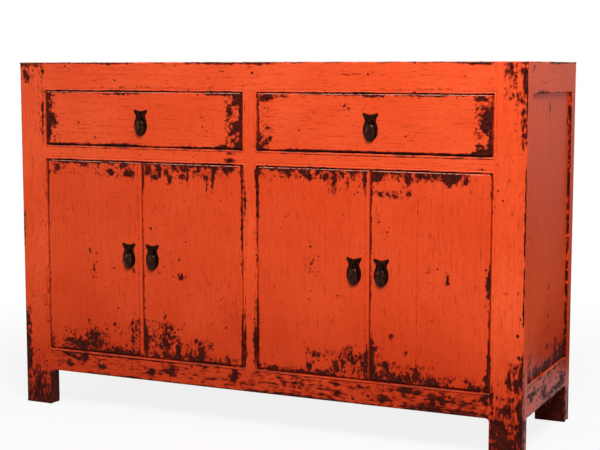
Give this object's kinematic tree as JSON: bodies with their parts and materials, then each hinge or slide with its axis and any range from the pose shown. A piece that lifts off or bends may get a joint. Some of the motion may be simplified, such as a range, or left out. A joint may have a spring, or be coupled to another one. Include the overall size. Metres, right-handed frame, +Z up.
{
  "type": "lacquered sideboard",
  "caption": "Red lacquered sideboard on short legs, with drawers over paired doors and dark iron drop pulls; drawers slide, doors and pulls swing.",
  "frame": {"origin": "centre of the whole object's footprint, pulls included, on the floor", "axes": "+X along the width to the right of someone facing the front, -Y out of the front, +Z up"},
  "size_m": [1.356, 0.4398, 0.9],
  "materials": {
    "red_lacquer": "worn red lacquer over a dark undercoat",
    "bare_wood": "bare planed softwood, aged",
    "stained_wood": "dark brown stain",
    "black_iron": "blackened and waxed"
  },
  "bodies": {
    "carcass": {"post_front_left": "red_lacquer", "post_front_right": "red_lacquer", "post_back_left": "red_lacquer", "post_back_right": "red_lacquer", "top_rail_front": "red_lacquer", "bottom_rail_front": "red_lacquer", "top_rail_back": "red_lacquer", "bottom_rail_back": "red_lacquer", "top_rail_left": "red_lacquer", "bottom_rail_left": "red_lacquer", "top_rail_right": "red_lacquer", "bottom_rail_right": "red_lacquer", "middle_rail": "red_lacquer", "drawer_divider": "red_lacquer", "door_stile": "red_lacquer", "back_stile": "red_lacquer", "side_panel_left": "red_lacquer", "side_panel_right": "red_lacquer", "back_panel_left": "stained_wood", "back_panel_right": "stained_wood", "top_boards": "red_lacquer", "floor_boards": "bare_wood", "shelf_boards": "bare_wood", "shelf_bearers": "bare_wood", "drawer_runners": "bare_wood", "door_and_drawer_stops": "bare_wood"},
    "drawer_left": {"drawer_left_front": "red_lacquer", "drawer_left_sides": "bare_wood", "drawer_left_back": "bare_wood", "drawer_left_bottom": "bare_wood", "drawer_left_pull_plate": "black_iron", "drawer_left_split_pin": "black_iron"},
    "drawer_left_drop": {"drawer_left_pull_drop": "black_iron"},
    "drawer_right": {"drawer_right_front": "red_lacquer", "drawer_right_sides": "bare_wood", "drawer_right_back": "bare_wood", "drawer_right_bottom": "bare_wood", "drawer_right_pull_plate": "black_iron", "drawer_right_split_pin": "black_iron"},
    "drawer_right_drop": {"drawer_right_pull_drop": "black_iron"},
    "door_1": {"door_1_boards": "red_lacquer", "door_1_battens": "bare_wood", "door_1_pull_plate": "black_iron", "door_1_split_pin": "black_iron"},
    "door_1_drop": {"door_1_pull_drop": "black_iron"},
    "door_2": {"door_2_boards": "red_lacquer", "door_2_battens": "bare_wood", "door_2_pull_plate": "black_iron", "door_2_split_pin": "black_iron"},
    "door_2_drop": {"door_2_pull_drop": "black_iron"},
    "door_3": {"door_3_boards": "red_lacquer", "door_3_battens": "bare_wood", "door_3_pull_plate": "black_iron", "door_3_split_pin": "black_iron"},
    "door_3_drop": {"door_3_pull_drop": "black_iron"},
    "door_4": {"door_4_boards": "red_lacquer", "door_4_battens": "bare_wood", "door_4_pull_plate": "black_iron", "door_4_split_pin": "black_iron"},
    "door_4_drop": {"door_4_pull_drop": "black_iron"}
  },
  "joints": [
    {"name": "drawer_left_slide", "type": "slide", "parent": "carcass", "child": "drawer_left", "axis": [0, -1, 0], "range_m": [0, 0.26]},
    {"name": "drawer_right_slide", "type": "slide", "parent": "carcass", "child": "drawer_right", "axis": [0, -1, 0], "range_m": [0, 0.26]},
    {"name": "door_1_hinge", "type": "hinge", "parent": "carcass", "child": "door_1", "pos_m": [-0.582, -0.20115, 0.402], "axis": [0, 0, -1], "range_deg": [0, 90]},
    {"name": "door_2_hinge", "type": "hinge", "parent": "carcass", "child": "door_2", "pos_m": [-0.0445, -0.20115, 0.402], "axis": [0, 0, 1], "range_deg": [0, 90]},
    {"name": "door_3_hinge", "type": "hinge", "parent": "carcass", "child": "door_3", "pos_m": [0.0305, -0.20115, 0.402], "axis": [0, 0, -1], "range_deg": [0, 90]},
    {"name": "door_4_hinge", "type": "hinge", "parent": "carcass", "child": "door_4", "pos_m": [0.582, -0.20115, 0.402], "axis": [0, 0, 1], "range_deg": [0, 90]},
    {"name": "door_1_drop_swing", "type": "hinge", "parent": "door_1", "child": "door_1_drop", "pos_m": [-0.35275, -0.21435, 0.425], "axis": [1, 0, 0], "range_deg": [-80, 0]},
    {"name": "door_2_drop_swing", "type": "hinge", "parent": "door_2", "child": "door_2_drop", "pos_m": [-0.28375, -0.21435, 0.425], "axis": [1, 0, 0], "range_deg": [-80, 0]},
    {"name": "door_3_drop_swing", "type": "hinge", "parent": "door_3", "child": "door_3_drop", "pos_m": [0.26675, -0.21435, 0.425], "axis": [1, 0, 0], "range_deg": [-80, 0]},
    {"name": "door_4_drop_swing", "type": "hinge", "parent": "door_4", "child": "door_4_drop", "pos_m": [0.33575, -0.21435, 0.425], "axis": [1, 0, 0], "range_deg": [-80, 0]},
    {"name": "drawer_left_drop_swing", "type": "hinge", "parent": "drawer_left", "child": "drawer_left_drop", "pos_m": [-0.31325, -0.21435, 0.763], "axis": [1, 0, 0], "range_deg": [-80, 0]},
    {"name": "drawer_right_drop_swing", "type": "hinge", "parent": "drawer_right", "child": "drawer_right_drop", "pos_m": [0.30625, -0.21435, 0.763], "axis": [1, 0, 0], "range_deg": [-80, 0]}
  ]
}
